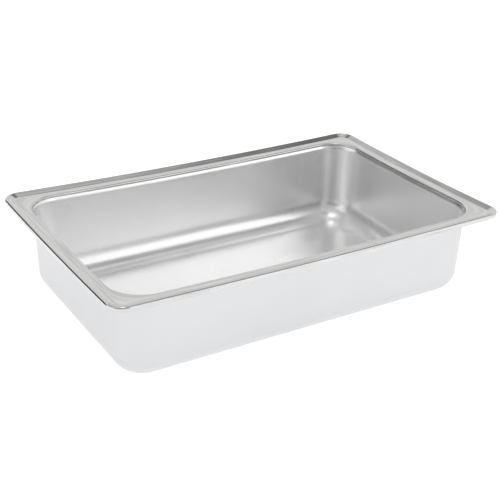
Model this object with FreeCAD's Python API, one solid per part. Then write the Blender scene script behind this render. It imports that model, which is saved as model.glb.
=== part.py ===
import FreeCAD, Part
import math
import os

# Full-size food pan with a stepped rim, deep drawn from one sheet of stainless steel.
# Frame: millimetres, +Z up, +X along the long side, origin at the centre of the
# underside of the floor. "Inset" is the distance in from the outermost face of the rim.
# The sheet is written as zones that meet face to face and never overlap: three rings for
# the rim, and below them a wall on each side, a corner between each two, and the floor.

# Driving dimensions: the whole pan
rim_length = 552.0
rim_width = 349.0
overall_height = 120.5
sheet = 0.8

# The turned-down edge and the sloping flange beside it
edge_height = 6.0
edge_roll_radius = 2.5
edge_corner_radius = 22.0
flange_slope = 24.0
flange_bend_radius = 2.0

# The seat: a flat ledge, sunk below the crest, that takes the rim of a smaller pan
seat_depth = 3.5
seat_bend_radius = 1.5

# The riser below the seat, and the shoulder that steps in to the side wall
riser_inset = 22.2
riser_foot_depth = 7.3
shoulder_slope = 60.0
shoulder_step = 1.6
shoulder_inner_radius = 1.9
shoulder_outer_radius = 10.0

# The well: its side wall, its bottom radius and its corners
wall_draft = 1.7
bottom_radius = 29.5
well_corner_inset = 65.0

# Where the zones meet, always on a straight leg of the section
edge_joint_inset = 4.4
seat_joint_inset = 13.5
riser_joint_inset = 20.2
wall_joint_depth = 16.0
floor_joint_margin = 1.5

half = sheet / 2.0


def turned_edge_path():
    """Mid-sheet path from the free edge, over the crest, to the start of the flange."""
    slope = math.radians(flange_slope)
    roll = edge_roll_radius - half
    centre_z = overall_height - edge_roll_radius
    tangent_inset = edge_roll_radius + roll * math.sin(slope)
    tangent_z = centre_z + roll * math.cos(slope)
    corner_z = tangent_z + (tangent_inset - half) * math.tan(slope)
    joint_z = tangent_z - (edge_joint_inset - tangent_inset) * math.tan(slope)
    return [
        (half, overall_height - edge_height, 0.0),
        (half, corner_z, roll),
        (edge_joint_inset, joint_z, 0.0),
    ]


def flange_path():
    """Mid-sheet path down the sloping flange and on to the flat seat."""
    start_inset, start_z, _ = turned_edge_path()[-1]
    seat_z = overall_height - seat_depth - half
    foot_inset = start_inset + (start_z - seat_z) / math.tan(math.radians(flange_slope))
    return [
        (start_inset, start_z, 0.0),
        (foot_inset, seat_z, flange_bend_radius),
        (seat_joint_inset, seat_z, 0.0),
    ]


def wall_inset(z):
    """Inset of the side wall's mid-sheet line at height z, growing down with the draft."""
    top_inset = riser_inset - half + shoulder_step
    top_z = overall_height - riser_foot_depth
    return top_inset + (top_z - z) * math.tan(math.radians(wall_draft))


def shoulder_path():
    """Mid-sheet path from the seat, down the riser and over the shoulder to the wall."""
    seat_z = flange_path()[-1][1]
    riser_mid = riser_inset - half
    foot_z = overall_height - riser_foot_depth
    shoulder_z = foot_z - shoulder_step * math.tan(math.radians(shoulder_slope))
    joint_z = overall_height - wall_joint_depth
    return [
        (riser_joint_inset, seat_z, 0.0),
        (riser_mid, seat_z, seat_bend_radius),
        (riser_mid, foot_z, shoulder_inner_radius),
        (wall_inset(shoulder_z), shoulder_z, shoulder_outer_radius),
        (wall_inset(joint_z), joint_z, 0.0),
    ]


def floor_joint_inset():
    """Inset of the joint between the bottom radius and the flat floor."""
    tangent = bottom_radius * math.tan(math.radians(90.0 - wall_draft) / 2.0)
    return wall_inset(half) + tangent + floor_joint_margin


def side_wall_path():
    """Mid-sheet path down the drafted wall and round the bottom radius to the floor."""
    joint_z = overall_height - wall_joint_depth
    return [
        (wall_inset(joint_z), joint_z, 0.0),
        (wall_inset(half), half, bottom_radius),
        (floor_joint_inset(), half, 0.0),
    ]


def direction(start, end):
    """Unit vector from start to end in the plane of the section."""
    length = math.hypot(end[0] - start[0], end[1] - start[1])
    return ((end[0] - start[0]) / length, (end[1] - start[1]) / length)


def shifted(point, along, distance):
    """The point moved sideways, to the left of the direction along."""
    return (point[0] - along[1] * distance, point[1] + along[0] * distance)


def side_points(path, offset):
    """One face of the sheet: its corner points, with three points for every bend."""
    points = [shifted(path[0], direction(path[0], path[1]), offset)]
    for before, corner, after in zip(path, path[1:], path[2:]):
        into = direction(before, corner)
        out = direction(corner, after)
        turn = math.atan2(into[0] * out[1] - into[1] * out[0], into[0] * out[0] + into[1] * out[1])
        reach = corner[2] * math.tan(abs(turn) / 2.0)
        start = (corner[0] - into[0] * reach, corner[1] - into[1] * reach)
        end = (corner[0] + out[0] * reach, corner[1] + out[1] * reach)
        side = math.copysign(1.0, turn)
        centre = shifted(start, into, side * corner[2])
        middle = direction(centre, corner)
        radius = corner[2] - side * offset
        points.append(shifted(start, into, offset))
        points.append((centre[0] + middle[0] * radius, centre[1] + middle[1] * radius))
        points.append(shifted(end, out, offset))
    points.append(shifted(path[-1], direction(path[-2], path[-1]), offset))
    return points


def section_edges(points, corner_inset):
    """Lines and arcs through one side's points, as distances out from the corner axis."""
    vectors = [FreeCAD.Vector(corner_inset - inset, 0.0, z) for inset, z in points]
    edges = [Part.LineSegment(vectors[0], vectors[1]).toShape()]
    for index in range(1, len(vectors) - 2, 3):
        edges.append(Part.Arc(*vectors[index:index + 3]).toShape())
        edges.append(Part.LineSegment(vectors[index + 2], vectors[index + 3]).toShape())
    return edges


def section_face(path, corner_inset):
    """The cross-section of one zone, standing in the XZ plane."""
    upper = side_points(path, half)
    lower = side_points(path, -half)
    edges = section_edges(upper, corner_inset) + section_edges(lower, corner_inset)
    for left, right in ((upper[0], lower[0]), (upper[-1], lower[-1])):
        start = FreeCAD.Vector(corner_inset - left[0], 0.0, left[1])
        end = FreeCAD.Vector(corner_inset - right[0], 0.0, right[1])
        edges.append(Part.LineSegment(start, end).toShape())
    return Part.Face(Part.Wire(Part.__sortEdges__(edges)))


def stretches(path, corner_inset):
    """One zone carried round the pan: for each quarter, its turned corner and straight side."""
    axis_x = rim_length / 2.0 - corner_inset
    axis_y = rim_width / 2.0 - corner_inset
    up = FreeCAD.Vector(0, 0, 1)
    origin = FreeCAD.Vector(0, 0, 0)
    face = section_face(path, corner_inset)
    pieces = []
    corners = ((axis_x, axis_y), (-axis_x, axis_y), (-axis_x, -axis_y), (axis_x, -axis_y))
    for quarter, (x, y) in enumerate(corners):
        run = 2.0 * (axis_y if quarter % 2 == 0 else axis_x)
        turned = face.revolve(origin, up, 90.0)
        straight = face.extrude(FreeCAD.Vector(0, -run, 0))
        for piece in (turned, straight):
            piece.rotate(origin, up, 90.0 * quarter)
            piece.translate(FreeCAD.Vector(x, y, 0))
            pieces.append(piece)
    return pieces


def ring(path, corner_inset):
    """One zone carried round the pan as a single closed ring."""
    pieces = stretches(path, corner_inset)
    return pieces[0].fuse(pieces[1:]).removeSplitter()


def plate(inset, corner_inset, z):
    """A flat sheet over the whole pan inside the given inset, with rounded corners."""
    x = rim_length / 2.0 - inset
    y = rim_width / 2.0 - inset
    radius = corner_inset - inset
    block = Part.makeBox(2.0 * x, 2.0 * y, sheet, FreeCAD.Vector(-x, -y, z))
    upright = [edge for edge in block.Edges if abs(edge.BoundBox.ZLength - sheet) < 1e-6]
    return block.makeFillet(radius, upright)


def stepped_rim():
    """The sloping flange and the flat seat, whose inner line follows the well's corners."""
    flange = ring(flange_path(), edge_corner_radius)
    seat_underside = overall_height - seat_depth - sheet
    outer = plate(seat_joint_inset, edge_corner_radius, seat_underside)
    inner = plate(riser_joint_inset, well_corner_inset, seat_underside)
    return flange.fuse(outer.cut(inner)).removeSplitter()


zones = {
    "turned_edge": ring(turned_edge_path(), edge_corner_radius),
    "stepped_rim": stepped_rim(),
    "shoulder": ring(shoulder_path(), well_corner_inset),
    "floor_panel": plate(floor_joint_inset(), well_corner_inset, 0.0),
}

well_names = (
    "rear_right_corner", "right_wall", "rear_left_corner", "rear_wall",
    "front_left_corner", "left_wall", "front_right_corner", "front_wall",
)
for name, piece in zip(well_names, stretches(side_wall_path(), well_corner_inset)):
    zones[name] = piece

os.makedirs("parts", exist_ok=True)
for name, zone in zones.items():
    solid = zone.Solids[0]
    box = solid.optimalBoundingBox(False)
    print(f"{name}: {len(zone.Solids)} solid, valid {solid.isValid()}, {solid.Volume:.0f} mm3, "
          f"z {box.ZMin:.2f} to {box.ZMax:.2f}, x {box.XLength:.2f}, y {box.YLength:.2f}")
    solid.exportStep(f"parts/{name}.step")
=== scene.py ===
import math

import bpy
from mathutils import Matrix, Vector


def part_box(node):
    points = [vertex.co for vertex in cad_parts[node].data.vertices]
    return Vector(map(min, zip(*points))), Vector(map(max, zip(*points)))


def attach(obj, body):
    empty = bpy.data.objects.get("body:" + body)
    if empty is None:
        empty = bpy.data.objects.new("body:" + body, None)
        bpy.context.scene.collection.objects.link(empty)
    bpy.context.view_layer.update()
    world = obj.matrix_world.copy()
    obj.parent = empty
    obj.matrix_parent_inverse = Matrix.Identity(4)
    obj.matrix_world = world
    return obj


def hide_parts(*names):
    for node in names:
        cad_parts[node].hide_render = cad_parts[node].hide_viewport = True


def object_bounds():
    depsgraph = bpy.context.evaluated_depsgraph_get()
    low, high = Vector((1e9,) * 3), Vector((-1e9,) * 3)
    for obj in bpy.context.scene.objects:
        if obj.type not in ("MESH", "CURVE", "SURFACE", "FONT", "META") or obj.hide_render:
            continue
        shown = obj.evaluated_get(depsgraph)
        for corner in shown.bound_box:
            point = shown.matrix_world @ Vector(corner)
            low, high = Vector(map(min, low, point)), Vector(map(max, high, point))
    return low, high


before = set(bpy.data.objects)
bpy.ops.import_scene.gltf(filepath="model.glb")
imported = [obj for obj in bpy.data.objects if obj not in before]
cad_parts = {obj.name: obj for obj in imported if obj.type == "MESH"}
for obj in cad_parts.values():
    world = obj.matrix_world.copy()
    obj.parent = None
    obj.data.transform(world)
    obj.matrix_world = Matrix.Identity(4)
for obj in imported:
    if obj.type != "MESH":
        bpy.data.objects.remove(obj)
cad_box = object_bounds()

# Everything is in metres, in the pan's own frame: +Z up, +X along its long side, and the
# origin at the centre of the underside of its floor. "Inset" is the distance in from the
# outermost face of the rim.
MM = 0.001
rim_length = cad_box[1].x - cad_box[0].x
rim_width = cad_box[1].y - cad_box[0].y
overall_height = cad_box[1].z - cad_box[0].z
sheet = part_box("floor_panel")[1].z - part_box("floor_panel")[0].z
half = sheet / 2

# The turned-down edge and the sloping flange beside it
edge_roll_radius = 2.5 * MM
edge_corner_radius = 22.0 * MM
flange_slope = math.radians(24.0)
flange_bend_radius = 2.0 * MM
free_edge_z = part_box("turned_edge")[0].z

# The seat, the riser below it and the shoulder that steps in to the side wall
seat_depth = 3.5 * MM
seat_bend_radius = 1.5 * MM
riser_inset = 22.2 * MM
riser_foot_depth = 7.3 * MM
shoulder_slope = math.radians(60.0)
shoulder_step = 1.6 * MM
shoulder_inner_radius = 1.9 * MM
shoulder_outer_radius = 10.0 * MM

# The well
wall_draft = math.radians(1.7)
bottom_radius = 29.5 * MM
well_corner_inset = 65.0 * MM

# Where the zones of the sheet meet
edge_joint_inset = 4.4 * MM
seat_joint_inset = 13.5 * MM
riser_joint_inset = 20.2 * MM
wall_joint_depth = 16.0 * MM
floor_joint_margin = 1.5 * MM

# A drawn rim is not quite flat: between its corners each side dips by a few millimetres
rear_dip = 3.2 * MM
front_dip = 2.4 * MM
end_dip = 2.2 * MM
dip_fades_below = 85.0 * MM

# How finely the sheet is divided
CORNER_STEPS = 20
LONG_STEPS = 56
SHORT_STEPS = 36
LONGEST_LEG = 6.0 * MM
BEND_STEP = math.radians(6.0)
FREE_EDGE_STEPS = 8

# Points of the floor that agree to this many decimals of a metre are one point
SAME_POINT_DECIMALS = 7


# ---- the section of the sheet -------------------------------------------------------

def turned_edge_path():
    """Mid-sheet path from the free edge, over the crest, to the start of the flange."""
    roll = edge_roll_radius - half
    tangent_inset = edge_roll_radius + roll * math.sin(flange_slope)
    tangent_z = overall_height - edge_roll_radius + roll * math.cos(flange_slope)
    corner_z = tangent_z + (tangent_inset - half) * math.tan(flange_slope)
    joint_z = tangent_z - (edge_joint_inset - tangent_inset) * math.tan(flange_slope)
    return [
        (half, free_edge_z + half, 0.0),
        (half, corner_z, roll),
        (edge_joint_inset, joint_z, 0.0),
    ]


def flange_path():
    """Mid-sheet path down the sloping flange and on to the flat seat."""
    start_inset, start_z, _ = turned_edge_path()[-1]
    seat_z = overall_height - seat_depth - half
    foot_inset = start_inset + (start_z - seat_z) / math.tan(flange_slope)
    return [
        (start_inset, start_z, 0.0),
        (foot_inset, seat_z, flange_bend_radius),
        (seat_joint_inset, seat_z, 0.0),
    ]


def wall_inset(z):
    """Inset of the side wall's mid-sheet line at height z, growing down with the draft."""
    top_z = overall_height - riser_foot_depth
    return riser_inset - half + shoulder_step + (top_z - z) * math.tan(wall_draft)


def shoulder_path():
    """Mid-sheet path from the seat, down the riser and over the shoulder to the wall."""
    seat_z = overall_height - seat_depth - half
    riser_mid = riser_inset - half
    foot_z = overall_height - riser_foot_depth
    shoulder_z = foot_z - shoulder_step * math.tan(shoulder_slope)
    joint_z = overall_height - wall_joint_depth
    return [
        (riser_joint_inset, seat_z, 0.0),
        (riser_mid, seat_z, seat_bend_radius),
        (riser_mid, foot_z, shoulder_inner_radius),
        (wall_inset(shoulder_z), shoulder_z, shoulder_outer_radius),
        (wall_inset(joint_z), joint_z, 0.0),
    ]


def floor_joint_inset():
    """Inset of the joint between the bottom radius and the flat floor."""
    tangent = bottom_radius * math.tan((math.pi / 2 - wall_draft) / 2)
    return wall_inset(half) + tangent + floor_joint_margin


def side_wall_path():
    """Mid-sheet path down the drafted wall and round the bottom radius to the floor."""
    joint_z = overall_height - wall_joint_depth
    return [
        (wall_inset(joint_z), joint_z, 0.0),
        (wall_inset(half), half, bottom_radius),
        (floor_joint_inset(), half, 0.0),
    ]


def left_of(along, distance):
    """The sideways step of the given size, to the left of a unit direction."""
    return Vector((-along.y, along.x)) * distance


def leg_points(start, end):
    """Points along a straight leg, both ends included, never further apart than allowed."""
    count = max(1, math.ceil((end - start).length / LONGEST_LEG))
    return [start.lerp(end, step / count) for step in range(count + 1)]


def face_points(path, offset):
    """One face of the sheet along a path of (inset, z, bend radius): legs joined by arcs."""
    corners = [Vector(point[:2]) for point in path]
    points = []
    leg_start = corners[0] + left_of((corners[1] - corners[0]).normalized(), offset)
    for index in range(1, len(path) - 1):
        into = (corners[index] - corners[index - 1]).normalized()
        out = (corners[index + 1] - corners[index]).normalized()
        turn = math.atan2(into.x * out.y - into.y * out.x, into.dot(out))
        radius = path[index][2]
        centre = corners[index] - into * radius * math.tan(abs(turn) / 2)
        centre = centre + left_of(into, math.copysign(radius, turn))
        arm = left_of(into, offset - math.copysign(radius, turn))
        points += leg_points(leg_start, centre + arm)
        count = max(2, math.ceil(abs(turn) / BEND_STEP))
        for step in range(1, count):
            points.append(centre + Matrix.Rotation(turn * step / count, 2) @ arm)
        leg_start = centre + Matrix.Rotation(turn, 2) @ arm
    last = corners[-1] + left_of((corners[-1] - corners[-2]).normalized(), offset)
    return points + leg_points(leg_start, last)


def rounded_end(path):
    """The half round of the sheet's free edge, from its lower face to its upper one."""
    start = Vector(path[0][:2])
    along = (Vector(path[1][:2]) - start).normalized()
    arm = left_of(along, -half)
    turns = [-math.pi * step / FREE_EDGE_STEPS for step in range(1, FREE_EDGE_STEPS)]
    return [start + Matrix.Rotation(turn, 2) @ arm for turn in turns]


# ---- carrying the section round the pan ---------------------------------------------

def stations():
    """Places round the pan, anticlockwise from the right: (kind, quarter, share of the way)."""
    found = []
    for quarter in range(4):
        straight = SHORT_STEPS if quarter % 2 == 0 else LONG_STEPS
        found += [("wall", quarter, step / straight) for step in range(straight)]
        found += [("corner", quarter, step / CORNER_STEPS) for step in range(CORNER_STEPS)]
    return found


def corner_axis(quarter, corner_inset):
    """The upright axis that a corner turns about, 0 being the rear right one."""
    x = rim_length / 2 - corner_inset
    y = rim_width / 2 - corner_inset
    return Vector(((x, y), (-x, y), (-x, -y), (x, -y))[quarter % 4])


def place(station, inset, z, corner_inset):
    """The point of the pan at a station, for one point of the section."""
    kind, quarter, share = station
    angle = quarter * math.pi / 2
    axis = corner_axis(quarter, corner_inset)
    if kind == "wall":
        axis = corner_axis(quarter - 1, corner_inset).lerp(axis, share)
    else:
        angle += share * math.pi / 2
    reach = corner_inset - inset
    x = axis.x + reach * math.cos(angle)
    y = axis.y + reach * math.sin(angle)
    return Vector((x, y, z - dip(x, y, z)))


def dip(x, y, z):
    """How far the drawn rim sinks between its corners; it fades out down the wall."""
    across = min(1.0, abs(x) / (rim_length / 2 - edge_corner_radius))
    along = min(1.0, abs(y) / (rim_width / 2 - edge_corner_radius))
    side = y / rim_width
    long_dip = (rear_dip + front_dip) / 2 + (rear_dip - front_dip) * side
    depth = (overall_height - z) / dip_fades_below
    fade = max(0.0, min(1.0, 1.0 - depth))
    fade = fade * fade * (3 - 2 * fade)
    return fade * (long_dip * (1 - across ** 2) + end_dip * (1 - along ** 2))


def sheet_mesh(name, section, sharp, places, closed, satin_below=0.0):
    """A closed piece of sheet: a closed section carried along a row of stations.

    section is a list of (inset, z, corner inset), sharp the indices of its hard corners.
    Faces take material 0 on top, 1 underneath, and 2 on top below the height satin_below.
    """
    count = len(section)
    rows = [[place(station, *point) for point in section] for station in places]
    vertices = [point for row in rows for point in row]
    faces = []
    row_pairs = len(rows) if closed else len(rows) - 1
    for row in range(row_pairs):
        here = row * count
        there = (row + 1) % len(rows) * count
        for index in range(count):
            after = (index + 1) % count
            faces.append((here + index, here + after, there + after, there + index))
    hard = {(row * count + index, (row + 1) % len(rows) * count + index)
            for row in range(row_pairs) for index in sharp}
    if not closed:
        last = (len(rows) - 1) * count
        for base, order in ((0, 1), (last, -1)):
            middle = count // 2
            upper = [base + index for index in range(middle)]
            lower = [base + index for index in range(count - 1, middle - 1, -1)]
            for a, b, c, d in zip(upper, upper[1:], lower[1:], lower):
                faces.append((a, b, c, d)[::-order])
            hard |= {(base + index, base + (index + 1) % count) for index in range(count)}
    mesh = bpy.data.meshes.new(name)
    mesh.from_pydata(vertices, [], faces)
    finish_mesh(mesh, hard)
    for face in mesh.polygons[:row_pairs * count]:
        index = face.index % count
        face.material_index = 1 if index >= count // 2 else 2 * (section[index][1] < satin_below)
    lay_grain(mesh, section, rows, row_pairs)
    return mesh


def finish_mesh(mesh, hard):
    """Smooth faces everywhere but across the hard edges."""
    mesh.validate()
    mesh.shade_smooth()
    wanted = {tuple(sorted(pair)) for pair in hard}
    marks = mesh.attributes.new("sharp_edge", "BOOLEAN", "EDGE")
    for edge in mesh.edges:
        marks.data[edge.index].value = tuple(sorted(edge.vertices)) in wanted
    mesh.update()


def lay_grain(mesh, section, rows, row_pairs):
    """A UV map in metres: u round the pan and v across the section, for the steel's grain."""
    count = len(section)
    around = [0.0]
    for row in range(row_pairs):
        step = rows[(row + 1) % len(rows)][0] - rows[row][0]
        around.append(around[-1] + step.length)
    across = [0.0]
    for before, after in zip(section, section[1:] + section[:1]):
        across.append(across[-1] + math.hypot(after[0] - before[0], after[1] - before[1]))
    layer = mesh.uv_layers.new(name="grain")
    for face in mesh.polygons:
        if face.index < row_pairs * count:
            row, index = divmod(face.index, count)
            corners = ((row, index), (row, index + 1), (row + 1, index + 1), (row + 1, index))
            for loop, (u, v) in zip(face.loop_indices, corners):
                layer.data[loop].uv = (around[u], across[v])
        else:
            for loop in face.loop_indices:
                layer.data[loop].uv = (0.0, 0.0)


def closed_section(path, corner_inset, end_corner_inset=None, end_inset=None, free_end=False):
    """Both faces of the sheet along a path, as one closed loop, and its hard corners.

    A path that runs on flat to another set of corners ends at end_inset.
    """
    upper = [(*point, corner_inset) for point in face_points(path, half)]
    lower = [(*point, corner_inset) for point in face_points(path, -half)]
    if end_inset is not None:
        upper.append((end_inset, upper[-1][1], end_corner_inset))
        lower.append((end_inset, lower[-1][1], end_corner_inset))
    section = upper + lower[::-1]
    sharp = {len(upper) - 1, len(upper)}
    if free_end:
        section += [(*point, corner_inset) for point in rounded_end(path)]
    else:
        sharp |= {0, len(section) - 1}
    return section, sharp


def floor_mesh(name):
    """The flat floor: a strip in from its edge to the corner axes, and a grid inside them."""
    places = stations()
    edge_inset = floor_joint_inset()
    axis_inset = well_corner_inset
    axes = [place(station, axis_inset, 0.0, axis_inset) for station in places]
    xs = sorted({round(point.x, SAME_POINT_DECIMALS) for point in axes})
    ys = sorted({round(point.y, SAME_POINT_DECIMALS) for point in axes})
    vertices = []
    faces = []
    lookup = {}

    def vertex(x, y, z):
        key = tuple(round(value, SAME_POINT_DECIMALS) for value in (x, y, z))
        if key not in lookup:
            lookup[key] = len(vertices)
            vertices.append((x, y, z))
        return lookup[key]

    for z, order in ((sheet, 1), (0.0, -1)):
        for here, there in zip(places, places[1:] + places[:1]):
            corners = ((here, edge_inset), (there, edge_inset),
                       (there, axis_inset), (here, axis_inset))
            points = [place(station, inset, z, axis_inset) for station, inset in corners]
            face = list(dict.fromkeys(vertex(point.x, point.y, z) for point in points))
            faces.append(face[::order])
        for x0, x1 in zip(xs, xs[1:]):
            for y0, y1 in zip(ys, ys[1:]):
                corners = ((x0, y0), (x1, y0), (x1, y1), (x0, y1))
                face = [vertex(x, y, z) for x, y in corners]
                faces.append(face[::order])
    hard = set()
    for here, there in zip(places, places[1:] + places[:1]):
        a = place(here, edge_inset, 0.0, axis_inset)
        b = place(there, edge_inset, 0.0, axis_inset)
        corners = ((a, 0.0), (b, 0.0), (b, sheet), (a, sheet))
        face = [vertex(point.x, point.y, z) for point, z in corners]
        faces.append(face)
        hard |= {(face[0], face[1]), (face[2], face[3])}
    mesh = bpy.data.meshes.new(name)
    mesh.from_pydata(vertices, [], faces)
    finish_mesh(mesh, hard)
    for face in mesh.polygons:
        face.material_index = int(face.center.z < half)
    layer = mesh.uv_layers.new(name="grain")
    for loop in mesh.loops:
        layer.data[loop.index].uv = mesh.vertices[loop.vertex_index].co.xy
    return mesh


# ---- materials ----------------------------------------------------------------------

def node(tree, kind, **inputs):
    """A shader node with its input sockets set by name, or by number as in1=..."""
    made = tree.nodes.new(kind)
    for key, value in inputs.items():
        socket = made.inputs[int(key[2:])] if key.startswith("in") and key[2:].isdigit() \
            else made.inputs[key]
        if isinstance(value, bpy.types.NodeSocket):
            tree.links.new(value, socket)
        else:
            socket.default_value = value
    return made


def steel(name, colour, roughness, spread, grain, grain_strength, wobble, streak):
    """Stainless steel: colour and roughness that drift a little, and a fine stretched grain.

    grain is how many marks a metre it has (round the pan, across the section). wobble is
    how strong its slow waviness is, and streak how much darker the marks can be.
    """
    swell_height = 4.0 * MM
    grain_height = 0.02 * MM
    material = bpy.data.materials.new(name)
    material.use_nodes = True
    tree = material.node_tree
    tree.nodes.clear()
    uv = tree.nodes.new("ShaderNodeUVMap")
    uv.uv_map = "grain"
    solid = tree.nodes.new("ShaderNodeTexCoord").outputs["Object"]
    stretched = node(tree, "ShaderNodeVectorMath", in0=uv.outputs[0], in1=(grain[0], grain[1], 1.0))
    stretched.operation = "MULTIPLY"
    marks = node(tree, "ShaderNodeTexNoise", Vector=stretched.outputs[0], Scale=1.0,
                 Detail=4.0, Roughness=0.6)
    drift = node(tree, "ShaderNodeTexNoise", Vector=solid, Scale=9.0, Detail=3.0, Roughness=0.55)
    sway = node(tree, "ShaderNodeTexNoise", Vector=solid, Scale=12.0, Detail=1.0, Roughness=0.4)
    rough = node(tree, "ShaderNodeMapRange", in0=drift.outputs[0], in1=0.3, in2=0.7,
                 in3=roughness - spread, in4=roughness + spread)
    lifted = node(tree, "ShaderNodeMapRange", in0=marks.outputs[0], in1=0.2, in2=0.8,
                  in3=-spread * 0.5, in4=spread * 0.5)
    total = node(tree, "ShaderNodeMath", in0=rough.outputs[0], in1=lifted.outputs[0])
    total.operation = "ADD"
    swell = node(tree, "ShaderNodeBump", Strength=wobble, Distance=swell_height,
                 Height=sway.outputs[0])
    bump = node(tree, "ShaderNodeBump", Strength=grain_strength, Distance=grain_height,
                Height=marks.outputs[0], Normal=swell.outputs[0])
    shade = node(tree, "ShaderNodeMapRange", in0=drift.outputs[0], in1=0.25, in2=0.75,
                 in3=0.97, in4=1.03)
    streaks = node(tree, "ShaderNodeMapRange", in0=marks.outputs[0], in1=0.3, in2=0.7,
                   in3=1.0 - streak, in4=1.0)
    shade = node(tree, "ShaderNodeMath", in0=shade.outputs[0], in1=streaks.outputs[0])
    shade.operation = "MULTIPLY"
    tint = node(tree, "ShaderNodeMix", in0=1.0)
    tint.data_type = "RGBA"
    tint.blend_type = "MULTIPLY"
    tint.inputs[6].default_value = (*colour, 1.0)
    tree.links.new(shade.outputs[0], tint.inputs[7])
    shader = node(tree, "ShaderNodeBsdfPrincipled", Metallic=1.0, Roughness=total.outputs[0],
                  Normal=bump.outputs[0])
    tree.links.new(tint.outputs[2], shader.inputs["Base Color"])
    node(tree, "ShaderNodeOutputMaterial", Surface=shader.outputs[0])
    return material


bright = steel("bright_steel", colour=(0.78, 0.78, 0.772), roughness=0.06, spread=0.02,
               grain=(12.0, 420.0), grain_strength=0.25, wobble=0.2, streak=0.3)
# The inside's pale colour is painted light: it is the same steel as the outside, made paler to
# brighten the inside of the pan.
inside = steel("inside_satin_painted_light", colour=(0.95, 0.95, 0.952), roughness=0.29, spread=0.03,
               grain=(900.0, 900.0), grain_strength=0.3, wobble=0.3, streak=0.0)
# The outside's darker colour is painted shade: it is the same steel as the inside, darkened to
# offset the bright floor it reflects.
outside = steel("outside_satin_painted_shade", colour=(0.69, 0.693, 0.698), roughness=0.36, spread=0.03,
                grain=(900.0, 900.0), grain_strength=0.3, wobble=0.2, streak=0.0)


# ---- the pieces ---------------------------------------------------------------------

def add_piece(node_name, mesh, materials):
    """One zone of the sheet, shown in place of its CAD node, with its face materials in order."""
    for material in materials:
        mesh.materials.append(material)
    piece = bpy.data.objects.new(node_name + "_steel", mesh)
    bpy.context.scene.collection.objects.link(piece)
    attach(piece, "root")
    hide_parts(node_name)


def add_pan():
    """The whole sheet: three rings for the rim, then the walls, the corners and the floor."""
    around = stations()
    edge = closed_section(turned_edge_path(), edge_corner_radius, free_end=True)
    rim = closed_section(flange_path(), edge_corner_radius, well_corner_inset, riser_joint_inset)
    shoulder = closed_section(shoulder_path(), well_corner_inset)
    wall = closed_section(side_wall_path(), well_corner_inset)
    add_piece("turned_edge", sheet_mesh("turned_edge_steel", *edge, around, True),
              (bright, bright))
    add_piece("stepped_rim", sheet_mesh("stepped_rim_steel", *rim, around, True),
              (bright, outside))
    riser_foot = overall_height - riser_foot_depth
    add_piece("shoulder", sheet_mesh("shoulder_steel", *shoulder, around, True, riser_foot),
              (bright, outside, inside))
    walls = ("right_wall", "rear_wall", "left_wall", "front_wall")
    corners = ("rear_right_corner", "rear_left_corner", "front_left_corner", "front_right_corner")
    for quarter in range(4):
        side = [s for s in around if s[:2] == ("wall", quarter)] + [("corner", quarter, 0.0)]
        turn = [s for s in around if s[:2] == ("corner", quarter)] + [("corner", quarter, 1.0)]
        for name, places in ((walls[quarter], side), (corners[quarter], turn)):
            add_piece(name, sheet_mesh(name + "_steel", *wall, places, False),
                      (inside, outside))
    add_piece("floor_panel", floor_mesh("floor_panel_steel"), (inside, outside))


# ---- the studio ---------------------------------------------------------------------

# The studio's light, by direction: azimuth from +X towards +Y, and elevation, in degrees.
# The room's grey levels are (elevation, level), all round it and above its rear right. Both
# have a dark band half way up, and a small area at the zenith that is far brighter.
# An area is (middle azimuth, half width, lowest, highest elevation, width of its soft edge).
ROOM_LEVELS = ((0, 0.95), (30, 0.97), (40, 0.95), (44, 0.8), (47.5, 0.42), (53, 0.3), (56.5, 0.42),
               (59, 0.65), (64, 0.68), (68, 0.85), (76, 0.85), (82, 0.8), (90, 4.0))
REAR_WALL = (45, 60, -20, 91, 6)
REAR_LEVELS = ((0, 0.83), (30, 0.86), (41, 0.8), (44, 0.64), (47.5, 0.33), (53, 0.19), (56.5, 0.29),
               (59, 0.52), (64, 0.64), (68, 0.9), (78, 0.9), (83, 0.85), (90, 4.0))

# Soft-edged areas that are brighter or darker than the room behind them, each with its level
SOFT_AREAS = (
    ((-58, 8, 8, 34, 5), 1.3),
    ((-52, 26, 44, 48, 2), 1.8),
    ((-45, 35, 57, 78, 5), 0.3),
    ((-112, 32, 10, 60, 6), 0.5),
    ((-135, 22, -10, 25, 6), 0.3),
    ((122, 17, -20, 34, 5), 0.06),
)

# A colour ramp holds nothing above 1, so every level is stored as a share of the brightest
BRIGHTEST = 4.0

# The floor lies just clear of the underside of the pan
FLOOR_SIZE = 8.0
FLOOR_GAP = 0.2 * MM


def add_floor():
    """A large plain white floor."""
    mesh = bpy.data.meshes.new("floor")
    signs = ((-1, -1), (1, -1), (1, 1), (-1, 1))
    corners = [(x * FLOOR_SIZE, y * FLOOR_SIZE, 0.0) for x, y in signs]
    mesh.from_pydata(corners, [], [(0, 1, 2, 3)])
    material = bpy.data.materials.new("floor_white")
    material.use_nodes = True
    tree = material.node_tree
    tree.nodes.clear()
    shader = node(tree, "ShaderNodeBsdfPrincipled", Roughness=0.9)
    shader.inputs["Base Color"].default_value = (0.86, 0.86, 0.87, 1.0)
    shader.inputs["Emission Color"].default_value = (1.0, 1.0, 1.0, 1.0)
    shader.inputs["Emission Strength"].default_value = 0.6
    shader.inputs["Specular IOR Level"].default_value = 0.0
    node(tree, "ShaderNodeOutputMaterial", Surface=shader.outputs[0])
    mesh.materials.append(material)
    floor = bpy.data.objects.new("floor", mesh)
    floor.location.z = -FLOOR_GAP
    bpy.context.scene.collection.objects.link(floor)


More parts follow.
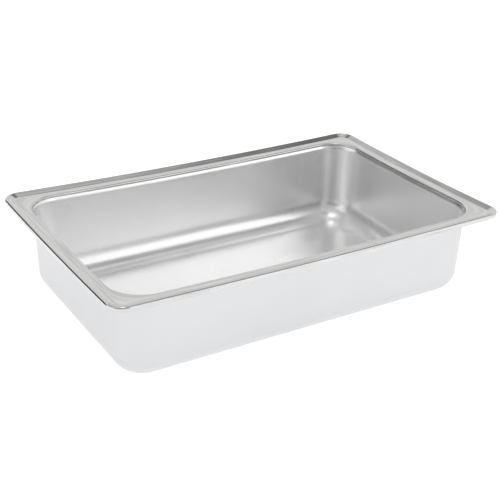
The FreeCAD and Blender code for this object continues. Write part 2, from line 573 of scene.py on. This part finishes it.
def smooth_box(tree, azimuth, elevation, box):
    """1 inside a soft-edged area of the room and 0 outside it; box is in degrees."""
    middle, half_width, low, high, soft = (math.radians(angle) for angle in box)
    turned = node(tree, "ShaderNodeMath", in0=azimuth, in1=middle)
    turned.operation = "SUBTRACT"
    cosine = node(tree, "ShaderNodeMath", in0=turned.outputs[0])
    cosine.operation = "COSINE"
    away = node(tree, "ShaderNodeMath", in0=cosine.outputs[0])
    away.operation = "ARCCOSINE"
    ranges = ((away.outputs[0], half_width + 2 * soft, half_width),
              (elevation, low - soft, low), (elevation, high + soft, high))
    product = 1.0
    for value, off_at, on_at in ranges:
        edge = node(tree, "ShaderNodeMapRange", in0=value, in1=off_at, in2=on_at)
        edge.interpolation_type = "SMOOTHSTEP"
        joined = node(tree, "ShaderNodeMath", in0=product, in1=edge.outputs[0])
        joined.operation = "MULTIPLY"
        product = joined.outputs[0]
    return product


def grey(level):
    """The colour that stands for a level of light."""
    share = level / BRIGHTEST
    return (share, share, share, 1.0)


def room_levels(tree, height, levels):
    """Grey levels by elevation in degrees, as a ramp over the sine of the elevation."""
    ramp = node(tree, "ShaderNodeValToRGB", in0=height)
    stops = ramp.color_ramp.elements
    stops.remove(stops[-1])
    for index, (elevation, level) in enumerate(levels):
        position = math.sin(math.radians(elevation))
        stop = stops.new(position) if index else stops[0]
        stop.position = position
        stop.color = grey(level)
    return ramp.outputs[0]


def add_light():
    """A pale room with a dark band half way up, and soft-edged brighter and darker areas."""
    world = bpy.data.worlds.new("studio")
    bpy.context.scene.world = world
    world.use_nodes = True
    tree = world.node_tree
    tree.nodes.clear()
    direction = tree.nodes.new("ShaderNodeTexCoord").outputs["Generated"]
    split = node(tree, "ShaderNodeSeparateXYZ", in0=direction)
    azimuth = node(tree, "ShaderNodeMath", in0=split.outputs[1], in1=split.outputs[0])
    azimuth.operation = "ARCTAN2"
    elevation = node(tree, "ShaderNodeMath", in0=split.outputs[2])
    elevation.operation = "ARCSINE"
    light = room_levels(tree, split.outputs[2], ROOM_LEVELS)
    areas = [(REAR_WALL, room_levels(tree, split.outputs[2], REAR_LEVELS))]
    areas += [(box, grey(level)) for box, level in SOFT_AREAS]
    for box, colour in areas:
        mask = smooth_box(tree, azimuth.outputs[0], elevation.outputs[0], box)
        mix = node(tree, "ShaderNodeMix", in0=mask, in6=light, in7=colour)
        mix.data_type = "RGBA"
        light = mix.outputs[2]
    shader = node(tree, "ShaderNodeBackground", Color=light, Strength=BRIGHTEST)
    node(tree, "ShaderNodeOutputWorld", Surface=shader.outputs[0])


def add_camera():
    """The view: from in front and to the left, looking down, rolled slightly."""
    azimuth, elevation, roll = (math.radians(angle) for angle in (-32.09, 25.91, 1.84))
    target = Vector((-0.0170, -0.0260, overall_height - 0.0521))
    distance = 1.3168
    back = Vector((math.sin(azimuth) * math.cos(elevation),
                   -math.cos(azimuth) * math.cos(elevation), math.sin(elevation)))
    level = Vector((math.cos(azimuth), math.sin(azimuth), 0.0))
    upright = back.cross(level)
    right = level * math.cos(roll) + upright * math.sin(roll)
    up = upright * math.cos(roll) - level * math.sin(roll)
    data = bpy.data.cameras.new("camera")
    data.lens = 73.59
    data.sensor_width = 36.0
    camera = bpy.data.objects.new("camera", data)
    turned = Matrix((right, up, back)).transposed().to_4x4()
    camera.matrix_world = Matrix.Translation(target + back * distance) @ turned
    bpy.context.scene.collection.objects.link(camera)
    bpy.context.scene.camera = camera


add_pan()
add_floor()
add_light()
add_camera()
bpy.context.scene.view_settings.view_transform = "Standard"
